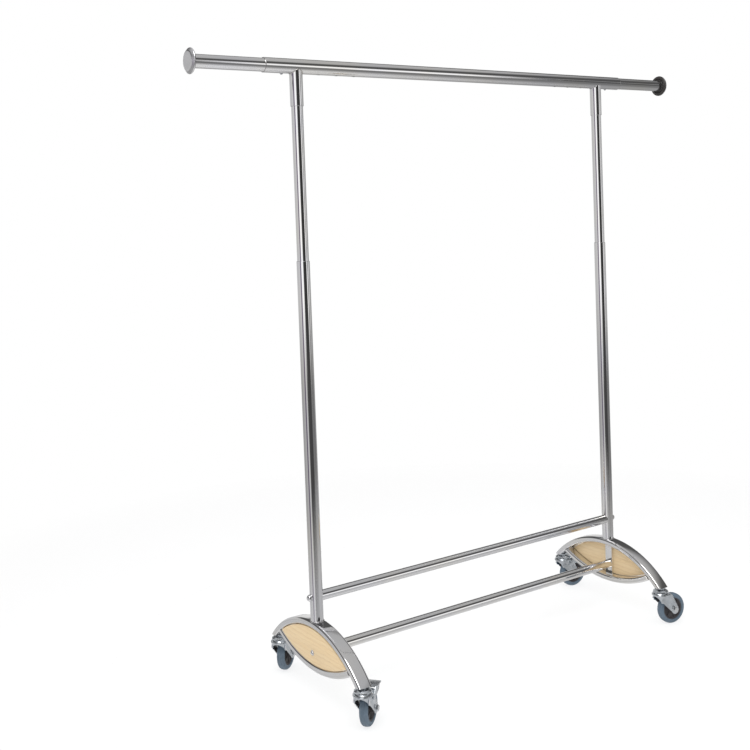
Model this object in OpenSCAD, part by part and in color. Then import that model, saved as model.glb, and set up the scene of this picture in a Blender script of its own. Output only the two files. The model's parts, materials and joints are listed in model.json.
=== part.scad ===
// Rolling clothes rack: a telescoping T-post rack on two arched base frames with
// swivel casters. The origin is on the floor, midway between the four casters.
// X runs along the hanging rail, Y from front to back, Z up.

/* [Hanging rail] */
// Outer diameter of the hanging rail
rail_d = 32; // [28:0.5:36]
// Length of the hanging rail without its pull-out ends
rail_length = 1046; // [1000:1:1080]
// Height of the rail's axis above the floor
rail_height = 1370; // [1350:1:1400]
// Wall thickness of every round tube
tube_wall = 1.5; // [1.2:0.1:1.6]

/* [Pull-out ends] */
// Length of tube that shows outside the rail on each side
extension_out = 162; // [150:1:170]
// Length of tube that stays inside the rail
extension_in = 140; // [120:1:150]
// Diameter of the end cap's rim
cap_d = 53; // [52:1:60]
// Spacing of the adjusting holes under the rail
rail_hole_pitch = 45; // [44:0.5:46]

/* [Uprights] */
// Distance between the axes of the two uprights
post_spacing = 890; // [870:1:900]
// Outer diameter of the lower posts and the rail sockets
post_d = 28.6; // [28:0.1:29]
// Height of the lower posts' top ends
post_top = 956; // [940:1:970]
// Height of the rail sockets' lower ends
socket_bottom = 1286; // [1270:1:1300]
// Height of the inner posts' lower ends
inner_bottom = 600; // [560:1:640]
// Spacing of the height holes behind the lower posts
post_hole_pitch = 50; // [48:1:50]

/* [Cross bars] */
// Outer diameter of both cross bars
bar_d = 22.4; // [20:0.1:24]
// Height of the upper cross bar's axis
upper_bar_z = 230; // [220:1:245]
// Height of the lower cross bar's axis
lower_bar_z = 110; // [104:1:116]

/* [Base frames] */
// Width of the flat oval base tubes, along the rail
base_tube_w = 34; // [30:0.5:35]
// Thickness of the flat oval base tubes
base_tube_t = 15; // [14:0.5:16]
// Height of the arch's top
arch_top = 178; // [176:1:180]
// Outer radius of the arch
arch_r = 250; // [248:0.5:252]
// Height of the arch's cut ends
arch_end_z = 95; // [94:0.5:96]
// Height of the lower arc's upper face at its lowest point
arc_bottom = 84.4; // [84:0.2:88]
// Inner radius of the lower arc
arc_r = 290; // [280:1:300]
// Thickness of the wooden panel
panel_t = 9; // [8:0.5:10]

/* [Casters] */
// Diameter of the wheels
wheel_d = 75; // [74:0.5:76]
// Width of the tyres
tyre_w = 19; // [18:0.5:22]
// Distance from the swivel axis back to the axle
trail = 30; // [28:0.5:31]
// Distance of each swivel axis from the middle of the base
swivel_y = 174; // [173.5:0.5:174.5]

/* [Hidden] */
$fn = 64;

LEFT = -1;
RIGHT = 1;
FRONT = -1;
REAR = 1;
chrome = [0.80, 0.80, 0.83];
zinc = [0.68, 0.72, 0.77];
maple = [0.87, 0.75, 0.58];
tyre_grey = [0.35, 0.43, 0.51];
hub_grey = [0.30, 0.28, 0.29];
nylon_black = [0.08, 0.08, 0.09];

slide_gap = 0.08;
post_x = post_spacing / 2;

// radii of the telescoping tubes, from the outside in
rail_r = rail_d / 2;
rail_bore_r = rail_r - tube_wall;
extension_r = rail_bore_r - slide_gap;
extension_bore_r = extension_r - tube_wall;
post_r = post_d / 2;
post_bore_r = post_r - tube_wall;
inner_r = post_bore_r - slide_gap;
inner_bore_r = inner_r - tube_wall;
bar_r = bar_d / 2;

// adjusting holes and the spring clips that lock in them
button_r = 3.3;
button_hole_r = 3.7;
button_out = 3;
clip_w = 7;
clip_t = 0.8;
clip_length = 36;
clip_rise = 18;
lock_x = rail_length / 2 - 43;
rail_holes = [0, 2, 3, 4];
lock_z = 718;
post_holes = [-6:4];

// end cap, measured outwards along the rail from the cap's rim
cap_r = cap_d / 2;
cap_inner = 4;
cap_outer = 6;
cap_collar_r = 17;
extension_end = rail_length / 2 + extension_out;
cap_x = extension_end + 2;

// base frame: the arch's centre lies below the floor, the lower arc's centre high above it
arch_z = arch_top - arch_r;
arch_inner_r = arch_r - base_tube_t;
arc_z = arc_bottom + arc_r;
base_tube_wall = 1.5;
base_corner_r = 6.5;
panel_gap = 0.8;
panel_inset = 2;
panel_x = base_tube_w / 2 - panel_inset - panel_t;
strut_t = 6;
strut_w = 22;
bar_end_x = post_x + panel_x - strut_t;
insert_length = 25;
foot_lap = 7;
bolt_r = 3;
bolt_hole_r = 3.3;

// caster, with heights above the floor
wheel_r = wheel_d / 2;
tyre_t = 10.5;
hub_r = wheel_r - tyre_t;
axle_r = 4;
axle_z = wheel_r;
leg_t = 2.2;
leg_in = 15.6;
leg_out = leg_in + leg_t;
boss_r = 10.5;
crown_bottom = 75.8;
crown_top = 78.3;
crown_r = 21.5;
race_top = 83;
swivel_gap = 0.3;
cup_bottom = race_top + swivel_gap;
cup_top = 90;
kingpin_r = 4;
hex_r = 9;
hex_top = 93.5;
stud_top = arch_end_z + 5.4;
mouth_z = 59;
mouth_r = 15;
pedal_in = leg_out + 0.4;
pedal_out = pedal_in + leg_t;
pivot_s = 14;
pivot_z = 68;
pivot_r = 2.5;
pedal_top = 86;
pedal_start = 23;
pedal_end = 52;

// where each wheel trails to, as an angle from the X axis
trail_angle_left = 38;
trail_angle_right = -10;

// ---------- shared shapes ----------

module along_x() { rotate([0, 90, 0]) children(); }
module along_y() { rotate([-90, 0, 0]) children(); }

module round_tube(outer_r, bore_r, length) {
    difference() {
        cylinder(r = outer_r, h = length);
        translate([0, 0, -1]) cylinder(r = bore_r, h = length + 2);
    }
}

// a rectangle with true round corners, centred on the origin
module round_rect(w, h, r) {
    square([w - 2 * r, h], center = true);
    square([w, h - 2 * r], center = true);
    for (x = [-1, 1], y = [-1, 1])
        translate([x * (w / 2 - r), y * (h / 2 - r)]) circle(r = r);
}

// a disc on its edge in the YZ plane, centred at height z
module edge_disc(r, z, w) { translate([-w / 2, 0, z]) along_x() cylinder(r = r, h = w, $fn = 128); }

// the flat oval tube bent round a circle in the YZ plane
module oval_ring(inner_r, z, shrink) {
    translate([0, 0, z]) along_x() rotate_extrude($fn = 128)
        translate([inner_r + base_tube_t / 2, 0])
            round_rect(base_tube_t - 2 * shrink, base_tube_w - 2 * shrink, base_corner_r - shrink);
}

// the lens-shaped opening between the arch and the lower arc
module lens(inset, x, w) {
    intersection() {
        translate([x, 0, 0]) edge_disc(arch_inner_r - inset, arch_z, w);
        translate([x, 0, 0]) edge_disc(arc_r - inset, arc_z, w);
    }
}

// ---------- base frames ----------

module base_arch(side) {
    color(chrome) translate([side * post_x, 0, 0]) difference() {
        intersection() {
            oval_ring(arch_inner_r, arch_z, 0);
            translate([-50, -300, arch_end_z]) cube([100, 600, 200]);
        }
        oval_ring(arch_inner_r, arch_z, base_tube_wall);
        for (end = [FRONT, REAR])
            translate([0, end * swivel_y, arch_end_z - 1]) cylinder(r = kingpin_r + 0.4, h = 6);
    }
}

module lower_arc(side) {
    color(chrome) translate([side * post_x, 0, 0]) intersection() {
        difference() {
            oval_ring(arc_r, arc_z, 0);
            oval_ring(arc_r, arc_z, base_tube_wall);
        }
        edge_disc(arch_inner_r, arch_z, 100);
    }
}

module strut(side) {
    color(chrome) translate([side * post_x, 0, 0]) difference() {
        intersection() {
            lens(0, 0, 100);
            translate([side * (panel_x - strut_t / 2) - strut_t / 2, -strut_w / 2, 0])
                cube([strut_t, strut_w, 300]);
        }
        translate([-50, 0, lower_bar_z]) along_x() cylinder(r = bolt_hole_r, h = 100);
    }
}

module wood_panel(side) {
    color(maple) translate([side * post_x, 0, 0]) difference() {
        lens(panel_gap, side * (panel_x + panel_t / 2), panel_t);
        translate([-50, 0, lower_bar_z]) along_x() cylinder(r = bolt_hole_r, h = 100);
    }
}

module arch_end_plugs() {
    color(nylon_black) for (side = [LEFT, RIGHT]) translate([side * post_x, 0, 0])
        for (end = [FRONT, REAR]) difference() {
            intersection() {
                oval_ring(arch_inner_r, arch_z, base_tube_wall);
                translate([-50, end > 0 ? 100 : -300, arch_end_z + 1]) cube([100, 200, 24]);
            }
            translate([0, end * swivel_y, arch_end_z - 5])
                cylinder(r = kingpin_r + 0.05, h = stud_top - arch_end_z + 5.2);
        }
}

// ---------- uprights and cross bars ----------

module lower_post(side) {
    color(chrome) translate([side * post_x, 0, 0]) difference() {
        translate([0, 0, arch_top - foot_lap])
            round_tube(post_r, post_bore_r, post_top - arch_top + foot_lap);
        oval_ring(arch_inner_r, arch_z, 0);
        translate([-50, 0, upper_bar_z]) along_x() cylinder(r = bolt_hole_r, h = 100);
        for (i = post_holes)
            translate([0, 0, lock_z + i * post_hole_pitch]) along_y()
                cylinder(r = button_hole_r, h = 50);
    }
}

module inner_post(side) {
    color(chrome) translate([side * post_x, 0, 0]) difference() {
        translate([0, 0, inner_bottom])
            round_tube(inner_r, inner_bore_r, rail_height - rail_r - 8 - inner_bottom);
        translate([0, 0, lock_z]) along_y() cylinder(r = button_hole_r - 0.1, h = 50);
    }
}

module upper_cross_bar() {
    color(chrome) difference() {
        translate([-post_x, 0, upper_bar_z]) along_x() round_tube(bar_r, bar_r - tube_wall, post_spacing);
        for (side = [LEFT, RIGHT])
            translate([side * post_x, 0, 0]) cylinder(r = post_r, h = upper_bar_z * 2);
    }
}

module lower_cross_bar() {
    color(chrome) translate([-bar_end_x, 0, lower_bar_z]) along_x()
        round_tube(bar_r, bar_r - tube_wall, 2 * bar_end_x);
}

// threaded steel plugs in the four bar ends
module cross_bar_inserts() {
    color(zinc) for (side = [LEFT, RIGHT]) {
        difference() {
            translate([side * (post_x - insert_length), 0, upper_bar_z]) along_x()
                cylinder(r = bar_r - tube_wall, h = 2 * insert_length - 10, center = true);
            translate([side * post_x, 0, 0]) cylinder(r = post_r, h = upper_bar_z * 2);
            translate([side * post_x, 0, upper_bar_z]) along_x()
                cylinder(r = bolt_r, h = 4 * insert_length, center = true);
        }
        translate([side * (bar_end_x - insert_length / 2), 0, lower_bar_z]) along_x()
            difference() {
                cylinder(r = bar_r - tube_wall, h = insert_length, center = true);
                cylinder(r = bolt_r, h = insert_length + 2, center = true);
            }
    }
}

// bolt with a domed cap head: the head's seat is at x = 0 and the shank runs towards -X
module dome_bolt(head_r, head_h, shank) {
    along_x() rotate_extrude() {
        intersection() {
            union() {
                translate([0, head_h - head_r]) circle(r = head_r);
                square([head_r, head_h - head_r + 0.01]);
            }
            square([head_r, head_h]);
        }
        translate([0, -shank]) square([bolt_r, shank + 1]);
    }
}

module side_bolts(x, z, head_r, head_h, shank) {
    color(chrome) for (side = [LEFT, RIGHT])
        translate([side * x, 0, z]) rotate([0, 0, side > 0 ? 0 : 180])
            dome_bolt(head_r, head_h, shank);
}

module upper_bar_bolts() { side_bolts(post_x + post_r, upper_bar_z, 7, 9, 2 * post_r + 18); }
module lower_bar_bolts() { side_bolts(post_x + panel_x + panel_t, lower_bar_z, 4.5, 4.5, 34); }

// ---------- hanging rail ----------

module hanging_rail() {
    color(chrome) difference() {
        translate([-rail_length / 2, 0, rail_height]) along_x()
            round_tube(rail_r, rail_bore_r, rail_length);
        for (side = [LEFT, RIGHT], i = rail_holes)
            translate([side * (lock_x - i * rail_hole_pitch), 0, rail_height - rail_r - 2])
                cylinder(r = button_hole_r, h = rail_r);
    }
}

module rail_socket(side) {
    color(chrome) translate([side * post_x, 0, 0]) difference() {
        translate([0, 0, socket_bottom]) round_tube(post_r, inner_r, rail_height - socket_bottom);
        translate([0, 0, rail_height]) along_x() cylinder(r = rail_r, h = 100, center = true);
    }
}

module extension_tube(side) {
    color(chrome) rotate([0, 0, side > 0 ? 0 : 180]) difference() {
        translate([rail_length / 2 - extension_in, 0, rail_height]) along_x()
            round_tube(extension_r, extension_bore_r, extension_in + extension_out);
        translate([lock_x, 0, rail_height - rail_r])
            cylinder(r = button_hole_r - 0.1, h = rail_r);
    }
}

// dished cap: bevelled outer face, round rim, and a grooved back around the tube's collar
module end_cap(side) {
    color(zinc) rotate([0, 0, side > 0 ? 0 : 180]) translate([cap_x, 0, rail_height]) along_x()
        difference() {
            rotate_extrude() {
                polygon([
                    [0, -cap_inner], [cap_r - 4, -cap_inner], [cap_r - 1.5, -1.5],
                    [cap_r - 1.5, 1.5], [cap_r - 6, cap_outer - 0.8], [cap_r - 8, cap_outer],
                    [0, cap_outer]]);
                translate([cap_r - 2.1, 0]) circle(r = 2.1);
            }
            translate([0, 0, -cap_inner - 1])
                round_tube(cap_r - 5.5, cap_collar_r, 4);
            translate([0, 0, -cap_inner - 1])
                cylinder(r = extension_r, h = extension_end - cap_x + cap_inner + 1);
        }
}

// one-piece spring clip: a domed button on the lower leaf of a folded strip.
// The button's axis is at the origin along -Z, and the strip runs towards +X.
module snap_clip(seat, tip) {
    along_leaf = [
        [-4, 0], [clip_length, 0], [clip_length + 3, 2.5], [clip_length, 5], [2, clip_rise],
        [1.6, clip_rise - clip_t], [clip_length - 1, 4.2], [clip_length + 2, 2.5],
        [clip_length - 0.5, clip_t], [-4, clip_t]];
    translate([0, clip_w / 2, seat]) rotate([90, 0, 0]) linear_extrude(clip_w) polygon(along_leaf);
    translate([0, 0, tip + button_r]) intersection() {
        union() {
            sphere(r = button_r);
            cylinder(r = button_r, h = seat - tip - button_r + clip_t / 2);
        }
        translate([-10, -10, -20]) cube([20, 20, 60]);
    }
}

module rail_snap_clip(side) {
    seat = -sqrt(pow(extension_bore_r, 2) - pow(clip_w / 2, 2)) + 0.2;
    color(zinc) translate([side * lock_x, 0, rail_height]) rotate([0, 0, side > 0 ? 0 : 180])
        snap_clip(seat, -rail_r - button_out);
}

module post_snap_clip(side) {
    seat = -sqrt(pow(inner_bore_r, 2) - pow(clip_w / 2, 2)) + 0.2;
    color(zinc) translate([side * post_x, 0, lock_z]) rotate([90, 0, 0]) rotate([0, 0, 90])
        snap_clip(seat, -post_r - button_out);
}

// ---------- casters ----------
// Each caster is drawn about its swivel axis, with the wheel trailing towards +X.

module at_caster(side, end) {
    translate([side * post_x, end * swivel_y, 0])
        rotate([0, 0, side < 0 ? trail_angle_left : trail_angle_right]) children();
}

// rivet head, kingpin, bearing cup, hexagon and stud: the part that stays with the frame
module caster_stem(side, end) {
    color(zinc) at_caster(side, end) {
        rotate_extrude() polygon([
            [0, crown_bottom - 4], [5, crown_bottom - 4], [6.5, crown_bottom - 2.5],
            [6.5, crown_bottom - swivel_gap], [kingpin_r, crown_bottom - swivel_gap],
            [kingpin_r, cup_bottom], [18, cup_bottom], [19, cup_bottom + 1.2],
            [18.3, cup_bottom + 3], [14, cup_top - 0.6], [10, cup_top], [0, cup_top]]);
        translate([0, 0, cup_top - 0.01]) cylinder(r = hex_r, h = hex_top - cup_top, $fn = 6);
        translate([0, 0, hex_top - 0.02]) cylinder(r = kingpin_r, h = stud_top - hex_top);
    }
}

module fork_leg() {
    linear_extrude(leg_t) difference() {
        union() {
            polygon([
                [-9, crown_top], [21, crown_top], [trail + boss_r - 0.6, axle_z + 4],
                [trail, axle_z - boss_r + 1], [trail - boss_r + 1.5, axle_z - 4.5],
                [-12, mouth_z + 6], [-9, mouth_z + 12]]);
            translate([trail, axle_z]) circle(r = boss_r);
        }
        translate([trail, axle_z]) circle(r = axle_r + 0.05);
    }
}

module caster_fork(side, end, braked) {
    color(zinc) at_caster(side, end) difference() {
        union() {
            // crown plate with the lower bearing race pressed up out of it
            translate([0, 0, crown_bottom]) cylinder(r = crown_r, h = crown_top - crown_bottom);
            translate([0, -leg_out, crown_bottom])
                cube([21, 2 * leg_out, crown_top - crown_bottom]);
            rotate_extrude() polygon([
                [0, crown_top - 0.5], [20.5, crown_top - 0.5], [20, crown_top + 1.5],
                [17.5, race_top], [0, race_top]]);
            for (u = [-1, 1])
                translate([0, u * (leg_in + leg_t / 2) + leg_t / 2, 0])
                    rotate([90, 0, 0]) fork_leg();
            // round nose that joins the legs in front of the wheel
            intersection() {
                translate([0, 0, mouth_z])
                    round_tube(leg_out, leg_in, crown_bottom - mouth_z + 0.5);
                translate([-40, -40, 0]) cube([40, 80, 100]);
            }
        }
        cylinder(r = kingpin_r + slide_gap, h = 200);
        // arched mouth in the nose
        translate([-40, 0, mouth_z]) along_x() cylinder(r = mouth_r, h = 38);
        if (braked) translate([pivot_s, 0, pivot_z]) along_y()
            cylinder(r = pivot_r + slide_gap, h = 100, center = true);
    }
}

module caster_axle(side, end) {
    color(zinc) at_caster(side, end) translate([trail, 0, axle_z]) along_y() {
        translate([0, 0, -leg_out - 3]) cylinder(r = axle_r, h = 2 * leg_out + 3.5);
        translate([0, 0, -leg_out - 4.5]) cylinder(r = 6.5, h = 4.5, $fn = 6);
        rotate_extrude() polygon([
            [0, leg_out], [7, leg_out], [7, leg_out + 1.5], [5.5, leg_out + 3], [0, leg_out + 3.4]]);
    }
}

module caster_hub(side, end) {
    color(hub_grey) at_caster(side, end) translate([trail, 0, axle_z]) along_y() difference() {
        rotate_extrude() {
            translate([0, 0.5 - leg_in]) square([9, 2 * leg_in - 1]);
            translate([0, -4]) square([hub_r, 8]);
            translate([hub_r - 4, -7.5]) square([4, 15]);
        }
        cylinder(r = axle_r + slide_gap, h = 100, center = true);
    }
}

module caster_tyre(side, end) {
    color(tyre_grey) at_caster(side, end) translate([trail, 0, axle_z]) along_y()
        rotate_extrude($fn = 96) translate([hub_r, 0]) difference() {
            union() {
                translate([0, -tyre_w / 2 + 1]) square([3, tyre_w - 2]);
                translate([tyre_t / 2, 0]) round_rect(tyre_t, tyre_w, 4.8);
            }
            // mould line round the middle of the tread
            translate([tyre_t - 0.35, -0.5]) square([2, 1]);
        }
}

// stamped lever: two side arms on short pivots, a cross plate and a foot tab behind the wheel
module brake_pedal(side, end) {
    color(zinc) at_caster(side, end) {
        for (u = [-1, 1]) {
            translate([0, u * (pedal_in + leg_t / 2) + leg_t / 2, 0]) rotate([90, 0, 0])
                linear_extrude(leg_t) union() {
                    polygon([
                        [pivot_s - 5, pivot_z], [pivot_s + 4, pivot_z - 4.2], [42, 72],
                        [pedal_end - 4, pedal_top - 5], [pedal_end - 4, pedal_top],
                        [pedal_start, pedal_top], [pivot_s - 2, pivot_z + 5]]);
                    translate([pivot_s, pivot_z]) circle(r = 5);
                }
            translate([pivot_s, u > 0 ? leg_in - 0.2 : -pedal_in - 0.5, pivot_z]) along_y()
                cylinder(r = pivot_r, h = pedal_in + 0.5 - leg_in + 0.2);
        }
        translate([pedal_start, -pedal_out, pedal_top - leg_t])
            cube([pedal_end - pedal_start - 4, 2 * pedal_out, leg_t]);
        // foot tab, wider than the lever
        translate([pedal_end - 26, -pedal_out - 2.5, pedal_top - leg_t])
            cube([26, 2 * pedal_out + 5, leg_t]);
        // friction shoe over the tread
        translate([33, -8, pedal_top - 7.5]) cube([14, 16, 6]);
    }
}

base_arch(LEFT);  // base_arch_left
base_arch(RIGHT);  // base_arch_right
lower_arc(LEFT);  // lower_arc_left
lower_arc(RIGHT);  // lower_arc_right
strut(LEFT);  // strut_left
strut(RIGHT);  // strut_right
wood_panel(LEFT);  // wood_panel_left
wood_panel(RIGHT);  // wood_panel_right
arch_end_plugs();
lower_post(LEFT);  // lower_post_left
lower_post(RIGHT);  // lower_post_right
upper_cross_bar();
lower_cross_bar();
cross_bar_inserts();
upper_bar_bolts();
lower_bar_bolts();
hanging_rail();
rail_socket(LEFT);  // rail_socket_left
rail_socket(RIGHT);  // rail_socket_right
inner_post(LEFT);  // inner_post_left
inner_post(RIGHT);  // inner_post_right
extension_tube(LEFT);  // extension_tube_left
extension_tube(RIGHT);  // extension_tube_right
end_cap(LEFT);  // end_cap_left
end_cap(RIGHT);  // end_cap_right
rail_snap_clip(LEFT);  // rail_snap_clip_left
rail_snap_clip(RIGHT);  // rail_snap_clip_right
post_snap_clip(LEFT);  // post_snap_clip_left
post_snap_clip(RIGHT);  // post_snap_clip_right
caster_stem(LEFT, FRONT);  // caster_stem_front_left
caster_stem(LEFT, REAR);  // caster_stem_rear_left
caster_stem(RIGHT, FRONT);  // caster_stem_front_right
caster_stem(RIGHT, REAR);  // caster_stem_rear_right
caster_fork(LEFT, FRONT, true);  // caster_fork_front_left
caster_fork(LEFT, REAR, false);  // caster_fork_rear_left
caster_fork(RIGHT, FRONT, false);  // caster_fork_front_right
caster_fork(RIGHT, REAR, true);  // caster_fork_rear_right
caster_axle(LEFT, FRONT);  // caster_axle_front_left
caster_axle(LEFT, REAR);  // caster_axle_rear_left
caster_axle(RIGHT, FRONT);  // caster_axle_front_right
caster_axle(RIGHT, REAR);  // caster_axle_rear_right
caster_hub(LEFT, FRONT);  // caster_hub_front_left
caster_hub(LEFT, REAR);  // caster_hub_rear_left
caster_hub(RIGHT, FRONT);  // caster_hub_front_right
caster_hub(RIGHT, REAR);  // caster_hub_rear_right
caster_tyre(LEFT, FRONT);  // caster_tyre_front_left
caster_tyre(LEFT, REAR);  // caster_tyre_rear_left
caster_tyre(RIGHT, FRONT);  // caster_tyre_front_right
caster_tyre(RIGHT, REAR);  // caster_tyre_rear_right
brake_pedal(LEFT, FRONT);  // brake_pedal_front_left
brake_pedal(RIGHT, REAR);  // brake_pedal_rear_right
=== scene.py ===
import json
import math

import bmesh
import bpy
from mathutils import Matrix, Vector, noise


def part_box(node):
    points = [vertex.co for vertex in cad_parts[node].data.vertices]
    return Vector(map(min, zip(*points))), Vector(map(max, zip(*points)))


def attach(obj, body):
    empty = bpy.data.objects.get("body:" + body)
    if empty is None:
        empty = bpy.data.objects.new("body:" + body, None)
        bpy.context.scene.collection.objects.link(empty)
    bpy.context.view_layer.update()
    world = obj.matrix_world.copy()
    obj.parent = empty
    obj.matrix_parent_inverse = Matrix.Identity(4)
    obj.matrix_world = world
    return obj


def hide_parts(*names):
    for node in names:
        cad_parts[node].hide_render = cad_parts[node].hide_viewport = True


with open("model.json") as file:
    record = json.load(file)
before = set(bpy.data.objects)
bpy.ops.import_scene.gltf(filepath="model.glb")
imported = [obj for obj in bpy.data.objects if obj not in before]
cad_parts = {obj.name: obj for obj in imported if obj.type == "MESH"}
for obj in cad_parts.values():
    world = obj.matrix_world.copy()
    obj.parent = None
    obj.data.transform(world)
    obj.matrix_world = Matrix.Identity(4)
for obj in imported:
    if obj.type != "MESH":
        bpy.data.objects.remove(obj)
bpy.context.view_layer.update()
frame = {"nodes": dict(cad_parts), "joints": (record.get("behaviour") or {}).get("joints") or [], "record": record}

NODES = frame["nodes"]
SLOTS = {s["node"]: s["material_slot"] for s in frame["record"]["subparts"]}
BODY_OF = {n: b for b, ns in frame["record"]["behaviour"]["bodies"].items() for n in ns}
CORNERS = ("front_left", "rear_left", "front_right", "rear_right")
SIDES = ("left", "right")
MM = 0.001


# ---------- materials ----------

def add_node(tree, kind, props=None, **inputs):
    """A shader node. An input takes a value or another node's output."""
    n = tree.nodes.new(kind)
    for key, value in (props or {}).items():
        setattr(n, key, value)
    for key, value in inputs.items():
        socket = n.inputs[int(key[1:])] if key[0] == "i" and key[1:].isdigit() else n.inputs[key]
        if isinstance(value, bpy.types.NodeSocket):
            tree.links.new(value, socket)
        else:
            socket.default_value = value
    return n


def shader(name):
    mat = bpy.data.materials.new(name)
    mat.use_nodes = True
    tree = mat.node_tree
    tree.nodes.clear()
    out = tree.nodes.new("ShaderNodeOutputMaterial")
    bsdf = tree.nodes.new("ShaderNodeBsdfPrincipled")
    tree.links.new(bsdf.outputs[0], out.inputs[0])
    place = tree.nodes.new("ShaderNodeTexCoord").outputs["Object"]
    return mat, tree, bsdf, place


def speckle(tree, place, scale, detail=3.0, rough=0.55, stretch=(1, 1, 1), warp=0.0):
    """Noise from 0 to 1 whose features are 1/scale metres across, longer where stretch is small."""
    m = add_node(tree, "ShaderNodeMapping", Vector=place, Scale=stretch)
    n = add_node(tree, "ShaderNodeTexNoise", Vector=m.outputs[0], Scale=scale, Detail=detail,
                 Roughness=rough, Distortion=warp)
    return n.outputs[0]


def ramp(tree, fac, stops, ease="LINEAR"):
    n = tree.nodes.new("ShaderNodeValToRGB")
    tree.links.new(fac, n.inputs[0])
    n.color_ramp.interpolation = ease
    while len(n.color_ramp.elements) < len(stops):
        n.color_ramp.elements.new(0.5)
    for e, (position, colour) in zip(n.color_ramp.elements, stops):
        e.position = position
        e.color = (*colour, 1) if hasattr(colour, "__len__") else (colour, colour, colour, 1)
    return n.outputs[0]


def remap(tree, value, low, high, to_low, to_high):
    n = add_node(tree, "ShaderNodeMapRange", i0=value, i1=low, i2=high, i3=to_low, i4=to_high)
    return n.outputs[0]


def combine(tree, how, a, b):
    return add_node(tree, "ShaderNodeMath", {"operation": how, "use_clamp": True}, i0=a, i1=b).outputs[0]


def blend_colours(tree, fac, a, b):
    n = add_node(tree, "ShaderNodeMix", {"data_type": "RGBA"})
    for socket, value in ((n.inputs[0], fac), (n.inputs[6], a), (n.inputs[7], b)):
        if isinstance(value, bpy.types.NodeSocket):
            tree.links.new(value, socket)
        else:
            socket.default_value = value if not hasattr(value, "__len__") else (*value, 1)
    return n.outputs[2]


def set_bump(tree, bsdf, height, strength, distance):
    n = add_node(tree, "ShaderNodeBump", Strength=strength, Distance=distance, Height=height)
    tree.links.new(n.outputs[0], bsdf.inputs["Normal"])


def worn_edges(tree, low=0.52, high=0.62):
    point = tree.nodes.new("ShaderNodeNewGeometry").outputs["Pointiness"]
    return remap(tree, point, low, high, 0.0, 1.0)


def chrome(name, along, cool=(0.80, 0.80, 0.825), warm=(0.83, 0.815, 0.79), polish=(0.035, 0.11)):
    """Mirror plate: faint polishing lines along the tube, hazy patches and a few scuffs."""
    mat, tree, bsdf, place = shader(name)
    stretch = {"x": (0.05, 1, 1), "y": (1, 0.05, 1), "z": (1, 1, 0.05), "": (1, 1, 1)}[along]
    lines = speckle(tree, place, 900, 4, 0.6, stretch)
    haze = speckle(tree, place, 22, 4, 0.6)
    scuff = ramp(tree, speckle(tree, place, 160, 6, 0.7, stretch, 0.6), [(0.62, 0), (0.74, 1)])
    tint = speckle(tree, place, 7, 2, 0.5)
    colour = blend_colours(tree, remap(tree, tint, 0.35, 0.65, 0, 1), cool, warm)
    colour = blend_colours(tree, remap(tree, lines, 0.55, 0.8, 0, 0.16), colour, (0.60, 0.60, 0.62))
    tree.links.new(colour, bsdf.inputs["Base Color"])
    bsdf.inputs["Metallic"].default_value = 1
    rough = remap(tree, haze, 0.3, 0.75, polish[0], polish[1])
    tree.links.new(combine(tree, "ADD", rough, remap(tree, scuff, 0, 1, 0, 0.10)), bsdf.inputs["Roughness"])
    set_bump(tree, bsdf, lines, 0.008, 0.00004)
    return mat


def zinc(name, colour_a=(0.72, 0.76, 0.80), colour_b=(0.56, 0.60, 0.65), rough=(0.14, 0.34), grip=False):
    """Bright zinc on pressed steel: fine spangle, bluish and yellowish patches, rubbed edges."""
    mat, tree, bsdf, place = shader(name)
    cells = add_node(tree, "ShaderNodeTexVoronoi", Vector=place, Scale=260.0)
    spangle = add_node(tree, "ShaderNodeSeparateColor", i0=cells.outputs["Color"]).outputs[0]
    cloud = speckle(tree, place, 60, 4, 0.6)
    fine = speckle(tree, place, 1500, 3, 0.6)
    colour = blend_colours(tree, remap(tree, cloud, 0.35, 0.7, 0, 1), colour_a, colour_b)
    colour = blend_colours(tree, remap(tree, spangle, 0, 1, 0, 0.22), colour, (0.78, 0.79, 0.77))
    stain = ramp(tree, speckle(tree, place, 95, 6, 0.7, warp=0.8), [(0.60, 0), (0.72, 1)])
    colour = blend_colours(tree, remap(tree, stain, 0, 1, 0, 0.35), colour, (0.46, 0.45, 0.42))
    colour = blend_colours(tree, worn_edges(tree), colour, (0.86, 0.87, 0.88))
    tree.links.new(colour, bsdf.inputs["Base Color"])
    bsdf.inputs["Metallic"].default_value = 1
    r = remap(tree, cloud, 0.3, 0.75, rough[0], rough[1])
    r = combine(tree, "ADD", r, remap(tree, stain, 0, 1, 0, 0.18))
    if grip:
        scratches = speckle(tree, place, 420, 6, 0.75, (1, 0.15, 1))
        r = combine(tree, "ADD", r, remap(tree, scratches, 0.5, 0.7, 0, 0.2))
    tree.links.new(r, bsdf.inputs["Roughness"])
    relief = combine(tree, "ADD", remap(tree, fine, 0, 1, 0, 0.4), remap(tree, spangle, 0, 1, 0, 0.3))
    set_bump(tree, bsdf, relief, 0.12, 0.0004)
    return mat


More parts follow.
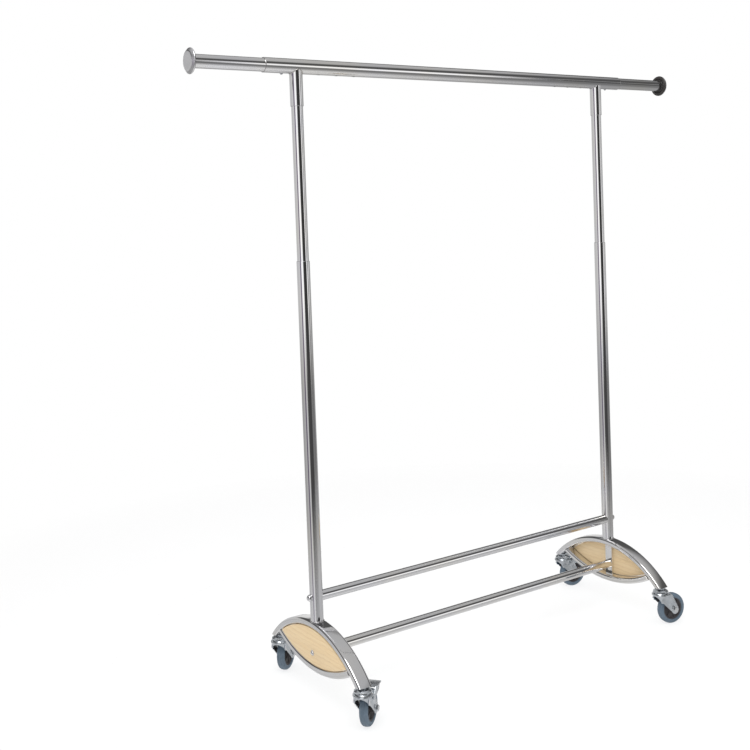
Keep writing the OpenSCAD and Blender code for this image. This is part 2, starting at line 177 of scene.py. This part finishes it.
def maple(name):
    """Pale straight-grained panel with the grain along Y, pores, a satin lacquer and darker cut edges."""
    mat, tree, bsdf, place = shader(name)
    bend = speckle(tree, place, 9, 2, 0.5, (1, 0.35, 1))
    shift = add_node(tree, "ShaderNodeVectorMath", {"operation": "MULTIPLY_ADD"}, i0=bend,
                     i1=(0, 0, 0.010), i2=place)
    grain = speckle(tree, shift.outputs[0], 420, 5, 0.62, (0.35, 0.028, 1))
    broad = speckle(tree, shift.outputs[0], 110, 3, 0.5, (0.3, 0.05, 1))
    pores = ramp(tree, speckle(tree, shift.outputs[0], 1500, 2, 0.5, (1, 0.05, 1)), [(0.64, 0), (0.72, 1)])
    wave = add_node(tree, "ShaderNodeTexWave", {"bands_direction": "Z"}, Vector=shift.outputs[0],
                    Scale=34.0, Distortion=3.0, Detail=3.0)
    wave.inputs["Detail Scale"].default_value = 2.2
    light, mid, dark = (0.90, 0.700, 0.430), (0.85, 0.630, 0.360), (0.66, 0.440, 0.215)
    colour = blend_colours(tree, remap(tree, broad, 0.3, 0.7, 0, 1), light, mid)
    colour = blend_colours(tree, remap(tree, grain, 0.52, 0.74, 0, 0.38), colour, dark)
    colour = blend_colours(tree, remap(tree, wave.outputs["Fac"], 0.78, 1.0, 0, 0.25), colour, dark)
    colour = blend_colours(tree, remap(tree, pores, 0, 1, 0, 0.35), colour, (0.33, 0.19, 0.08))
    colour = blend_colours(tree, worn_edges(tree, 0.53, 0.66), colour, (0.56, 0.37, 0.19))
    tree.links.new(colour, bsdf.inputs["Base Color"])
    tree.links.new(remap(tree, grain, 0.3, 0.75, 0.34, 0.52), bsdf.inputs["Roughness"])
    bsdf.inputs["Coat Weight"].default_value = 0.25
    bsdf.inputs["Coat Roughness"].default_value = 0.22
    height = combine(tree, "SUBTRACT", grain, remap(tree, pores, 0, 1, 0, 0.4))
    set_bump(tree, bsdf, height, 0.10, 0.0003)
    return mat


def moulded(name, colour, dusty, rough=(0.5, 0.72), dust=0.35):
    """Rubber or plastic: mottled body colour, fine mould texture, and dust in patches."""
    mat, tree, bsdf, place = shader(name)
    cloud = speckle(tree, place, 45, 4, 0.6)
    grit = speckle(tree, place, 1300, 4, 0.65)
    dirt = ramp(tree, speckle(tree, place, 120, 7, 0.7, warp=0.5), [(0.48, 0), (0.70, 1)])
    deep = tuple(c * 0.78 for c in colour)
    base = blend_colours(tree, remap(tree, cloud, 0.3, 0.7, 0, 1), colour, deep)
    base = blend_colours(tree, remap(tree, dirt, 0, 1, 0, dust), base, dusty)
    base = blend_colours(tree, remap(tree, grit, 0.6, 0.8, 0, 0.25), base, dusty)
    base = blend_colours(tree, remap(tree, worn_edges(tree, 0.53, 0.68), 0, 1, 0, 0.4), base, dusty)
    tree.links.new(base, bsdf.inputs["Base Color"])
    r = remap(tree, cloud, 0.3, 0.7, rough[0], rough[1])
    r = combine(tree, "ADD", r, remap(tree, dirt, 0, 1, 0, 0.12))
    tree.links.new(r, bsdf.inputs["Roughness"])
    set_bump(tree, bsdf, grit, 0.16, 0.0004)
    return mat


MATERIALS = {
    "chrome_x": chrome("chrome_along_rail", "x"),
    "chrome_z": chrome("chrome_along_post", "z"),
    "chrome_y": chrome("chrome_base_frame", "y", polish=(0.05, 0.14)),
    "chrome_cap": chrome("chrome_cap_satin", "", (0.80, 0.80, 0.83), (0.84, 0.83, 0.82), (0.30, 0.42)),
    "chrome_bolt": chrome("chrome_bolt_bright", "", polish=(0.06, 0.16)),
    "weld": chrome("chrome_weld_bead", "", (0.70, 0.70, 0.72), (0.72, 0.68, 0.62), (0.10, 0.28)),
    "zinc_steel": zinc("zinc_plate"),
    "zinc_tab": zinc("zinc_plate_rubbed", grip=True),
    "spring_steel": zinc("spring_steel_plate", (0.74, 0.75, 0.77), (0.62, 0.63, 0.66), (0.10, 0.24)),
    "maple_panel": maple("maple_veneer"),
    "tyre_rubber": moulded("tyre_rubber_blue_grey", (0.125, 0.175, 0.228), (0.26, 0.30, 0.34),
                           (0.38, 0.56), 0.28),
    "hub_plastic": moulded("hub_plastic_dark", (0.060, 0.053, 0.056), (0.14, 0.135, 0.13), (0.34, 0.5), 0.2),
    # near-black for the caps' backs: partly the insert's dark plastic, partly painted shade for the shadow and
    # dark reflection on the back
    "cap_back_shade": moulded("cap_back_painted_shade", (0.045, 0.040, 0.038), (0.11, 0.105, 0.10), (0.20, 0.34), 0.15),
    "nylon_plug": moulded("nylon_black", (0.014, 0.014, 0.016), (0.05, 0.05, 0.05), (0.38, 0.55), 0.2),
}


def material_for(node):
    slot = SLOTS[node]
    if slot == "chrome_tube":
        if node.startswith(("hanging_rail", "extension_tube", "upper_cross", "lower_cross")):
            return MATERIALS["chrome_x"]
        if node.startswith(("base_arch", "lower_arc")):
            return MATERIALS["chrome_y"]
        return MATERIALS["chrome_z"]
    return MATERIALS[slot]


for name, obj in NODES.items():
    obj.data.materials.clear()
    obj.data.materials.append(material_for(name))


# ---------- mesh helpers ----------

def finish_mesh(name, bm, material, body, smooth=40.0):
    """Turns bm, drawn in the row frame, into a piece that rides on body."""
    bmesh.ops.recalc_face_normals(bm, faces=bm.faces)
    mesh = bpy.data.meshes.new(name)
    bm.to_mesh(mesh)
    bm.free()
    mesh.materials.append(material)
    mesh.polygons.foreach_set("use_smooth", [True] * len(mesh.polygons))
    mesh.set_sharp_from_angle(angle=math.radians(smooth))
    obj = bpy.data.objects.new(name, mesh)
    bpy.context.scene.collection.objects.link(obj)
    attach(obj, body)
    return obj


def side_axes(axis):
    axis = Vector(axis).normalized()
    u = axis.orthogonal().normalized()
    return axis, u, axis.cross(u)


def lathe(bm, profile, centre, axis, segments, closed=True):
    """Turns (radius, height) pairs in metres about axis. Only a closed profile is joined end to start."""
    axis, u, v = side_axes(axis)
    centre = Vector(centre)
    rings = []
    for r, h in profile:
        if r < 1e-9:
            rings.append([bm.verts.new(centre + axis * h)] * segments)
            continue
        ring = []
        for i in range(segments):
            a = 2 * math.pi * i / segments
            ring.append(bm.verts.new(centre + axis * h + (u * math.cos(a) + v * math.sin(a)) * r))
        rings.append(ring)
    pairs = list(zip(rings, rings[1:])) + ([(rings[-1], rings[0])] if closed else [])
    for low, high in pairs:
        for i in range(segments):
            j = (i + 1) % segments
            face = []
            for vert in (low[i], low[j], high[j], high[i]):
                if vert not in face:
                    face.append(vert)
            if len(face) > 2:
                bm.faces.new(face)


def lip_profile(inner, outer, height, bulge):
    """A rounded lip on a tube's end: half a circle or so that stands bulge beyond the end."""
    points = [(inner, 0.0), (inner, height)]
    mid, half = (inner + outer) / 2, (outer - inner) / 2
    for i in range(1, 8):
        a = math.pi * (1 - i / 8)
        points.append((mid + half * math.cos(a), height + bulge * math.sin(a)))
    return points + [(outer, height), (outer, 0.0)]


def sweep_loop(bm, points, normals, radius, sides=10, wobble=0.0, seed=0):
    """A bead along a closed run of points. normals point away from the joint it fills."""
    count = len(points)
    rings = []
    for i in range(count):
        tangent = (points[(i + 1) % count] - points[i - 1]).normalized()
        n = (normals[i] - tangent * normals[i].dot(tangent)).normalized()
        b = tangent.cross(n)
        r = radius * (1 + wobble * noise.noise(Vector((i * 0.55, seed, 0.0)))
                      + wobble * 0.6 * math.sin(i * 2 * math.pi / 6))
        rings.append([bm.verts.new(points[i] + (n * math.cos(2 * math.pi * k / sides)
                                                + b * math.sin(2 * math.pi * k / sides)) * r)
                      for k in range(sides)])
    for i in range(count):
        for k in range(sides):
            low, high, m = rings[i], rings[(i + 1) % count], (k + 1) % sides
            bm.faces.new((low[k], low[m], high[m], high[k]))


def softened(node, width, segments, angle, material=None):
    """A copy of a CAD node with its sharp edges rounded by width, which stands for the node."""
    bm = bmesh.new()
    bm.from_mesh(NODES[node].data)
    bmesh.ops.remove_doubles(bm, verts=bm.verts, dist=0.004 * MM)
    bmesh.ops.dissolve_limit(bm, angle_limit=math.radians(0.6), verts=bm.verts, edges=bm.edges)
    edges = [e for e in bm.edges if len(e.link_faces) == 2 and e.calc_face_angle() > math.radians(angle)]
    bmesh.ops.bevel(bm, geom=edges, offset=width, offset_type="OFFSET", segments=segments,
                    profile=0.5, affect="EDGES", clamp_overlap=True)
    piece = finish_mesh(node + "_detail", bm, material or material_for(node), BODY_OF[node])
    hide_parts(node)


def centre_of(node):
    low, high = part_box(node)
    return (low + high) / 2


def in_mm(pairs, radius=0.0, height=0.0):
    """Turns pairs in millimetres into (radius, height) pairs in metres, beyond radius and height."""
    return [(radius + r * MM, height + h * MM) for r, h in pairs]


def round_section(radius, height, thick, count):
    """A small circle of (radius, height) pairs, which lathe turns into a ring like an O-ring."""
    turns = [2 * math.pi * k / count for k in range(count)]
    return [(radius + thick * math.cos(a), height + thick * math.sin(a)) for a in turns]


def outer_face(node, way):
    """The X of the node's face on the left (way -1) or on the right (way 1)."""
    low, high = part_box(node)
    return low.x if way < 0 else high.x


# ---------- tubes: rounded lips and weld beads ----------

WALL = 1.5 * MM
LIP_H, LIP_BULGE = 0.6 * MM, 0.5 * MM
# how far a weld bead's middle line stays outside the tube's skin
BEAD_OUT = 0.3 * MM
# the flat oval tube's thickness and corner radius, and the radius of the lower arc's upper face
BASE_T, BASE_CORNER, ARC_R = 15 * MM, 6.5 * MM, 290 * MM
rail_low, rail_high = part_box("hanging_rail")
RAIL_R = (rail_high.z - rail_low.z) / 2
RAIL_Z = (rail_high.z + rail_low.z) / 2


def add_lip(bm, tube_r, centre, axis):
    """A lip on a tube's end. centre lies LIP_H inside the end."""
    lathe(bm, lip_profile(tube_r - WALL, tube_r, LIP_H, LIP_BULGE), centre, axis, 96)


def weld_round_post(name, body, post_x, post_r, height_at, lean, bead_r, steps, seed):
    """A bead round an upright tube, where it meets a surface that lies height_at(x, y) above the floor."""
    points, normals = [], []
    for i in range(steps):
        a = 2 * math.pi * i / steps
        x, y = (post_r + BEAD_OUT) * math.cos(a), (post_r + BEAD_OUT) * math.sin(a)
        points.append(Vector((post_x + x, y, height_at(x, y))))
        normals.append(Vector((math.cos(a), math.sin(a), lean)).normalized())
    bm = bmesh.new()
    sweep_loop(bm, points, normals, bead_r, wobble=0.16, seed=seed)
    finish_mesh(name, bm, MATERIALS["weld"], body, 70)


def arch_shape(side):
    """The arch's box, its outer radius and the height of its centre, from its span and its rise."""
    low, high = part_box("base_arch_" + side)
    rise = high.z - low.z
    outer_r = ((high.y - low.y) ** 2 / 4 + rise ** 2) / (2 * rise)
    return low, high, outer_r, high.z - outer_r


def under_rail(x, y):
    """The height of the rail's underside, just outside its skin."""
    return RAIL_Z - math.sqrt((RAIL_R + 0.2 * MM) ** 2 - y * y)


def over_arch(side):
    """The height of the arch's upper face, which is rounded along both of its long edges."""
    low, high, outer_r, centre_z = arch_shape(side)
    half_w = (high.x - low.x) / 2

    def height_at(x, y):
        over = max(0.0, min(abs(x) - (half_w - BASE_CORNER), BASE_CORNER * 0.98))
        r = outer_r - BASE_CORNER + math.sqrt(BASE_CORNER ** 2 - over ** 2)
        return centre_z + math.sqrt(r * r - y * y) + 0.2 * MM
    return height_at


bm = bmesh.new()
for end, way in ((rail_low.x, -1), (rail_high.x, 1)):
    add_lip(bm, RAIL_R, (end - way * LIP_H, 0, RAIL_Z), (way, 0, 0))
finish_mesh("rail_end_lips", bm, MATERIALS["chrome_x"], "top_frame")

for side, socket_seed, foot_seed in (("left", 3, 5), ("right", 8, 11)):
    low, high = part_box("lower_post_" + side)
    post_r, post_x = (high.x - low.x) / 2, (high.x + low.x) / 2
    bm = bmesh.new()
    add_lip(bm, post_r, (post_x, 0, high.z - LIP_H), (0, 0, 1))
    finish_mesh("post_top_lip_" + side, bm, MATERIALS["chrome_z"], "base")

    socket_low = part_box("rail_socket_" + side)[0]
    bm = bmesh.new()
    add_lip(bm, post_r, (post_x, 0, socket_low.z + LIP_H), (0, 0, -1))
    finish_mesh("socket_lip_" + side, bm, MATERIALS["chrome_z"], "top_frame")

    weld_round_post("socket_weld_" + side, "top_frame", post_x, post_r, under_rail, -1,
                    1.0 * MM, 120, socket_seed)
    weld_round_post("post_foot_weld_" + side, "base", post_x, post_r, over_arch(side), 1,
                    1.3 * MM, 132, foot_seed)


# ---------- base frames ----------

def oval_section(half_w, shrink):
    """The flat oval tube's outline as (outwards from its middle line, along X) pairs."""
    half_t, wide, r = BASE_T / 2 - shrink, half_w - shrink, BASE_CORNER - shrink
    points = []
    for turn, (out, along_x) in enumerate(((1, 1), (-1, 1), (-1, -1), (1, -1))):
        for k in range(9):
            a = math.radians(90 * turn + 90 * k / 8)
            points.append((out * (half_t - r) + r * math.cos(a), along_x * (wide - r) + r * math.sin(a)))
    return points


def bent_tube(node, x, half_w, centre_z, mid_r, way, end_angle, steps=144):
    """The hollow flat oval tube bent round the X axis at centre_z, which stands for node."""
    bm = bmesh.new()
    skins = []
    for shrink in (0.0, WALL):
        rows = []
        for i in range(steps + 1):
            share = 2 * i / steps - 1
            row = []
            for out, along_x in oval_section(half_w, shrink):
                r = mid_r + out
                a = share * end_angle(r)
                row.append(bm.verts.new((x + along_x, r * math.sin(a), centre_z + way * r * math.cos(a))))
            rows.append(row)
        skins.append(rows)
        for low, high in zip(rows, rows[1:]):
            for k in range(len(low)):
                m = (k + 1) % len(low)
                bm.faces.new((low[k], low[m], high[m], high[k]))
    for end in (0, -1):
        shell, bore = skins[0][end], skins[1][end]
        for k in range(len(shell)):
            m = (k + 1) % len(shell)
            bm.faces.new((shell[k], shell[m], bore[m], bore[k]))
    piece = finish_mesh(node + "_bent", bm, MATERIALS["chrome_y"], "base", 42)
    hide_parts(node)


for side in SIDES:
    low, high, outer_r, arch_z = arch_shape(side)
    half_w, x, end_z = (high.x - low.x) / 2, (high.x + low.x) / 2, low.z
    bent_tube("base_arch_" + side, x, half_w, arch_z, outer_r - BASE_T / 2, 1,
              lambda r: math.acos((end_z - arch_z) / r))
    arc_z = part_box("lower_arc_" + side)[0].z + BASE_T + ARC_R
    apart, inside_r = arc_z - arch_z, outer_r - BASE_T
    bent_tube("lower_arc_" + side, x, half_w, arc_z, ARC_R + BASE_T / 2, -1,
              lambda r: math.acos((r * r + apart ** 2 - inside_r ** 2) / (2 * r * apart)))
    softened("wood_panel_" + side, 0.8 * MM, 3, 50)
    softened("strut_" + side, 0.6 * MM, 2, 50)


# ---------- end caps: rounded lathe work with a rubber ring in the groove behind ----------

CAP_RIM, CAP_EDGE_R = 6 * MM, 2.1 * MM
SEAL_R, SEAL_IN, SEAL_THICK = 18.0 * MM, 1.6 * MM, 0.95 * MM


def cap_profile(cap_r, depth):
    """From the middle of the back, over the groove and the rounded rim, to the middle of the front."""
    rim_start = depth - CAP_RIM
    profile = in_mm([(0, 2.0), (14.4, 2.0), (14.45, 0.4), (14.9, 0), (16.4, 0), (16.9, 0.5), (16.9, 2.7),
                     (17.3, 3.0), (18.7, 3.0), (19.1, 2.7), (19.1, 0.5), (19.5, 0)])
    profile += in_mm([(-6.4, 0), (-5.6, 0.3)], cap_r)
    for i in range(9):
        a = math.radians(-52 + i * 13)
        profile.append((cap_r - CAP_EDGE_R + CAP_EDGE_R * math.cos(a), rim_start + CAP_EDGE_R * math.sin(a)))
    profile += in_mm([(-3.0, 3.4)], cap_r, rim_start)
    profile += in_mm([(-4.6, -1.2), (-5.6, -0.55), (-7.0, -0.2), (-9.0, -0.12), (-16.0, -0.3)], cap_r, depth)
    return profile + in_mm([(6, -0.4), (0, -0.4)], 0.0, depth)


for side, way in (("left", -1), ("right", 1)):
    low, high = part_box("end_cap_" + side)
    back_x = outer_face("end_cap_" + side, -way)
    cap_r, depth = (high.z - low.z) / 2, high.x - low.x
    bm = bmesh.new()
    lathe(bm, cap_profile(cap_r, depth), (back_x, 0, RAIL_Z), (way, 0, 0), 112, closed=False)
    piece = finish_mesh("end_cap_%s_turned" % side, bm, MATERIALS["chrome_cap"], "rail_end_" + side,
                        48)
    # the back faces take the near-black material, which paints the shade and dark reflection on the cap's back as
    # well as its dark plastic
    piece.data.materials.append(MATERIALS["cap_back_shade"])
    for face in piece.data.polygons:
        if abs(face.center.x - back_x) < depth - CAP_RIM - 0.9 * MM and face.normal.x * way < 0.35:
            face.material_index = 1
    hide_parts("end_cap_" + side)
    bm = bmesh.new()
    lathe(bm, round_section(SEAL_R, SEAL_IN, SEAL_THICK, 14), (back_x, 0, RAIL_Z), (way, 0, 0), 96)
    finish_mesh("end_cap_seal_" + side, bm, MATERIALS["nylon_plug"], "rail_end_" + side)


# ---------- washers ----------

def washer(name, body, slot, radii, heights, centre, axis, segments):
    """A bevelled washer. radii are bore, flat face and rim, heights face, rim and foot, in millimetres."""
    bore, flat, rim = radii
    top, edge, foot = heights
    bm = bmesh.new()
    profile = in_mm([(bore, foot), (bore, top), (flat, top), (rim, edge), (rim, foot)])
    lathe(bm, profile, centre, axis, segments)
    finish_mesh(name, bm, MATERIALS[slot], body)


# under the cross bars' bolts
for side, way in (("left", -1), ("right", 1)):
    washer("upper_bolt_washer_" + side, "base", "chrome_bolt", (3.2, 7.6, 8.1), (0.8, 0.4, -0.6),
           (outer_face("lower_post_" + side, way), 0, centre_of("upper_bar_bolts").z), (way, 0, 0), 56)
    washer("panel_screw_cup_" + side, "base", "chrome_bolt", (3.2, 5.4, 6.3), (0.7, 0.25, -0.5),
           (outer_face("wood_panel_" + side, way), 0, centre_of("lower_bar_bolts").z), (way, 0, 0), 56)


# ---------- casters ----------

JOINTS = {j["name"]: j for j in frame["joints"]}
TYRE_W, TYRE_TALL = 19 * MM, 10.5 * MM
# how far the tyre's walls stay inside its width, and half the width that its profile was drawn for
TYRE_GAP, TYRE_DRAWN = 0.1 * MM, 10.9 * MM
BOSS_R = 9.0 * MM
# half the widths of the hub's rim and boss, in millimetres
HUB_RIM, HUB_BOSS = 7.5, 15.1
# from the wheel's middle to the outer face of a fork leg
LEG_FACE = 17.8 * MM
BEAD_R, BEAD_Z, BEAD_THICK = 20.1 * MM, 78.5 * MM, 0.75 * MM


def tyre_profile(wheel_r):
    """Crowned tread with two grooves, round shoulders, stepped side walls."""
    half = in_mm([(-0.05, 0), (-0.05, 2.6), (-0.5, 2.9), (-0.5, 3.5), (-0.12, 3.9), (-0.45, 6.0), (-1.3, 7.8),
                  (-2.6, 9.3), (-4.2, 10.3), (-5.6, 10.7), (-6.4, 10.45), (-7.2, 10.75), (-8.2, 10.9),
                  (-9.4, 10.5), (-10.3, 9.6), (-10.6, 8.9)], wheel_r)
    narrower = (TYRE_W / 2 - TYRE_GAP) / TYRE_DRAWN
    half = [(r, h * narrower) for r, h in half]
    return half[::-1] + [(r, -h) for r, h in half[1:]]


def hub_profile(hub_r):
    """Rim, dished web and bearing boss, the same on both sides."""
    half = in_mm([(0, HUB_RIM - 0.5), (-0.5, HUB_RIM), (-2.6, HUB_RIM), (-3.4, HUB_RIM - 0.8), (-4.6, 4.2),
                  (-6.0, 3.6)], hub_r)
    half += in_mm([(2.2, 4.4), (0.8, 6.0), (0, HUB_BOSS - 0.7), (-0.7, HUB_BOSS)], BOSS_R)
    half += in_mm([(6.4, HUB_BOSS), (6.2, HUB_BOSS - 0.8), (4.1, HUB_BOSS - 0.8)])
    return half + [(r, -h) for r, h in half[::-1]]


def add_ribs(bm, axle, along, hub_r):
    """Six stiffening ribs with rounded backs on each side of the hub's web."""
    axis, u, v = side_axes(along)
    crest = in_mm([(-0.3, 7.6), (3, 6.4)], BOSS_R) + in_mm([(-6, 5.8), (-3.2, 7.4)], hub_r)
    for face_side in (-1, 1):
        for k in range(6):
            a = math.pi * k / 3
            out = u * math.cos(a) + v * math.sin(a)
            thick_way = axis.cross(out)
            rows = []
            for r, h in crest:
                section = ((-1.3 * MM, 3.2 * MM), (-0.9 * MM, h - 0.4 * MM), (-0.3 * MM, h), (0.3 * MM, h),
                           (0.9 * MM, h - 0.4 * MM), (1.3 * MM, 3.2 * MM))
                rows.append([bm.verts.new(axle + out * r + axis * face_side * z + thick_way * w)
                             for w, z in section])
            for a_row, b_row in zip(rows, rows[1:]):
                for i in range(6):
                    j = (i + 1) % 6
                    bm.faces.new((a_row[i], a_row[j], b_row[j], b_row[i]))
            bm.faces.new(rows[0])
            bm.faces.new(rows[-1][::-1])


for corner_name in CORNERS:
    axle = Vector(JOINTS["wheel_spin_" + corner_name]["pos_m"])
    swivel = Vector(JOINTS["swivel_" + corner_name]["pos_m"])
    along = Vector(JOINTS["wheel_spin_" + corner_name]["axis"])
    wheel_body, fork_body = "wheel_" + corner_name, "caster_" + corner_name
    low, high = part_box("caster_tyre_" + corner_name)
    wheel_r = (high.z - low.z) / 2
    hub_r = wheel_r - TYRE_TALL

    bm = bmesh.new()
    lathe(bm, tyre_profile(wheel_r), axle, along, 120)
    piece = finish_mesh("tyre_" + corner_name, bm, MATERIALS["tyre_rubber"], wheel_body, 32)
    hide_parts("caster_tyre_" + corner_name)

    bm = bmesh.new()
    lathe(bm, hub_profile(hub_r), axle, along, 96)
    add_ribs(bm, axle, along, hub_r)
    piece = finish_mesh("hub_" + corner_name, bm, MATERIALS["hub_plastic"], wheel_body, 32)
    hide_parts("caster_hub_" + corner_name)

    # fork with rolled edges, and washers under the axle's heads
    softened("caster_fork_" + corner_name, 0.35 * MM, 2, 45)
    for way, letter in ((-1, "a"), (1, "b")):
        washer("axle_washer_%s_%s" % (corner_name, letter), fork_body, "zinc_steel", (4.4, 8.2, 8.8),
               (0.7, 0.3, -0.3), axle + along * way * LEG_FACE, along * way, 48)

    # rolled bead round the crown
    bm = bmesh.new()
    lathe(bm, round_section(BEAD_R, BEAD_Z, BEAD_THICK, 12), (swivel.x, swivel.y, 0), (0, 0, 1), 80)
    finish_mesh("crown_bead_" + corner_name, bm, MATERIALS["zinc_steel"], fork_body, 70)

for corner_name in ("front_left", "rear_right"):
    softened("brake_pedal_" + corner_name, 0.4 * MM, 2, 45, MATERIALS["zinc_tab"])


# ---------- floor ----------

FLOOR_SIDES, FLOOR_RINGS, RING_W = 64, 8, 0.4

bm = bmesh.new()
previous = [bm.verts.new((0, 0, 0))]
for step in range(1, FLOOR_RINGS + 1):
    turns = [2 * math.pi * k / FLOOR_SIDES for k in range(FLOOR_SIDES)]
    ring = [bm.verts.new((RING_W * step * math.cos(a), RING_W * step * math.sin(a), 0)) for a in turns]
    for k in range(FLOOR_SIDES):
        j = (k + 1) % FLOOR_SIDES
        if step == 1:
            bm.faces.new((previous[0], ring[k], ring[j]))
        else:
            bm.faces.new((previous[k], ring[k], ring[j], previous[j]))
    previous = ring
mesh = bpy.data.meshes.new("studio_floor")
bm.to_mesh(mesh)
bm.free()
floor = bpy.data.objects.new("studio_floor", mesh)
bpy.context.scene.collection.objects.link(floor)

mat, tree, bsdf, place = shader("studio_floor_white")
soft = speckle(tree, place, 2.5, 3, 0.5)
tree.links.new(blend_colours(tree, soft, (0.93, 0.93, 0.93), (0.90, 0.90, 0.905)), bsdf.inputs["Base Color"])
bsdf.inputs["Roughness"].default_value = 0.75
bsdf.inputs["Specular IOR Level"].default_value = 0.2
bsdf.inputs["Emission Color"].default_value = (1, 1, 1, 1)
bsdf.inputs["Emission Strength"].default_value = 0.30
# the floor fades out between 0.6 and 1.9 m from its middle
distance = add_node(tree, "ShaderNodeVectorMath", {"operation": "LENGTH"}, i0=place).outputs["Value"]
tree.links.new(remap(tree, distance, 0.6, 1.9, 0.34, 0.0), bsdf.inputs["Alpha"])
mesh.materials.append(mat)


# ---------- camera, at the photograph's viewing angle ----------

YAW, PITCH, ROLL = math.radians(33.81), math.radians(2.21), math.radians(-2.096)
CAMERA_AT = (-1.5759, -1.9653, 1.0512)
SENSOR_MM, LENS_MM, LENS_SHIFT = 36, 50.8656, -0.16
ahead = Vector((math.sin(YAW) * math.cos(PITCH), math.cos(YAW) * math.cos(PITCH), -math.sin(PITCH)))
level_right = Vector((math.cos(YAW), -math.sin(YAW), 0))
upward = level_right.cross(ahead)
right = math.cos(ROLL) * level_right + math.sin(ROLL) * upward
up = -math.sin(ROLL) * level_right + math.cos(ROLL) * upward
camera_data = bpy.data.cameras.new("camera")
camera_data.sensor_width = SENSOR_MM
camera_data.lens = LENS_MM
camera_data.shift_y = LENS_SHIFT
camera = bpy.data.objects.new("camera", camera_data)
camera.matrix_world = Matrix.Translation(CAMERA_AT) @ Matrix((right, up, -ahead)).transposed().to_4x4()
bpy.context.scene.collection.objects.link(camera)
bpy.context.scene.camera = camera


# ---------- surroundings: walls, bright panels and dark strips, which only the reflections show ----------

world = bpy.data.worlds.new("studio")
bpy.context.scene.world = world
world.use_nodes = True
tree = world.node_tree
tree.nodes.clear()
direction = tree.nodes.new("ShaderNodeTexCoord").outputs["Generated"]
to_camera = Vector((-math.sin(YAW), -math.cos(YAW), 0))


def part_along(way):
    """How far the ray's direction points along way."""
    n = add_node(tree, "ShaderNodeVectorMath", {"operation": "DOT_PRODUCT"}, i0=direction, i1=way)
    return n.outputs["Value"]


height = add_node(tree, "ShaderNodeSeparateXYZ", i0=direction).outputs[2]
azimuth = add_node(tree, "ShaderNodeMath", {"operation": "ARCTAN2"}, i0=part_along(level_right),
                   i1=part_along(to_camera)).outputs[0]
azimuth = remap(tree, azimuth, -math.pi, math.pi, 0, 1)
elevation = add_node(tree, "ShaderNodeMath", {"operation": "ARCSINE"}, i0=height).outputs[0]
elevation = remap(tree, elevation, -math.pi / 2, math.pi / 2, 0, 1)


def tones(angle, span, stops):
    """A ramp over an angle of span degrees in all. Its stops are pairs of degrees and a tone or a colour."""
    return ramp(tree, angle, [((degrees + span / 2) / span, tone) for degrees, tone in stops])


# 0 degrees lies towards the camera, and positive angles lie on the camera's right
round_about = tones(azimuth, 360, (
    (-180, 0.90), (-158, 0.60), (-100, 0.60), (-62, 0.70), (-48, (0.15, 0.12, 0.18)),
    (-37, (0.18, 0.14, 0.22)), (-30, 1.15), (-3, 1.15), (6, 0.045), (56, 0.04), (62, 1.10), (73, 1.10),
    (77, 0.10), (88, 0.10), (93, 1.05), (101, 1.05), (106, 0.30), (128, 0.40), (158, 0.50), (180, 0.90)))
# lower down, the walls are darker and the bright panels end
round_low = tones(azimuth, 360, (
    (-180, 0.60), (-158, 0.36), (-100, 0.40), (-66, 0.50), (-50, (0.10, 0.08, 0.13)),
    (-40, (0.14, 0.11, 0.17)), (-33, 0.62), (-16, 0.58), (-6, 0.07), (50, 0.06), (62, 0.20), (86, 0.20),
    (100, 0.16), (128, 0.30), (158, 0.40), (180, 0.60)))
above = tones(elevation, 180, (
    (0, 0.60), (11, 0.55), (18, 0.08), (38, 0.10), (48, 0.48), (75, 0.54), (90, 0.54)))
below = tones(elevation, 180, (
    (-90, 0.80), (-66, 0.66), (-50, 0.42), (-34, 0.30), (-24, 0.20), (0, 0.20)))
up_share = remap(tree, height, 0.16, 0.26, 0, 1)
low_share = remap(tree, height, -0.16, -0.08, 1, 0)
down_share = remap(tree, height, -0.50, -0.36, 1, 0)
mixed = blend_colours(tree, up_share, round_about, above)
mixed = blend_colours(tree, low_share, mixed, round_low)
mixed = blend_colours(tree, down_share, mixed, below)
seen = add_node(tree, "ShaderNodeBackground", Color=(1, 1, 1, 1), Strength=1.0).outputs[0]
mirrored = add_node(tree, "ShaderNodeBackground", Color=mixed, Strength=1.0).outputs[0]
diffuse = add_node(tree, "ShaderNodeBackground", Color=(0.98, 0.99, 1.0, 1), Strength=0.85).outputs[0]
path = tree.nodes.new("ShaderNodeLightPath").outputs
lit = add_node(tree, "ShaderNodeMixShader", i0=path["Is Diffuse Ray"], i1=mirrored, i2=diffuse)
choose = add_node(tree, "ShaderNodeMixShader", i0=path["Is Camera Ray"], i1=lit.outputs[0], i2=seen)
add_node(tree, "ShaderNodeOutputWorld", i0=choose.outputs[0])


# ---------- light ----------

def soft_light(name, place, aim, size, power):
    data = bpy.data.lights.new(name, "AREA")
    data.shape = "DISK"
    data.size = size
    data.energy = power
    lamp = bpy.data.objects.new(name, data)
    lamp.location = place
    lamp.rotation_euler = (Vector(aim) - Vector(place)).to_track_quat("-Z", "Y").to_euler()
    bpy.context.scene.collection.objects.link(lamp)
    return lamp


soft_light("key_light", (-1.6, -1.2, 3.2), (0, 0, 0.4), 2.0, 34)
fill = soft_light("fill_light", (2.4, -2.2, 1.6), (0.3, 0, 0.3), 1.6, 10)
# the fill light must not show as a white band in the cross bars
fill.visible_glossy = False
bpy.context.scene.view_settings.view_transform = "Standard"
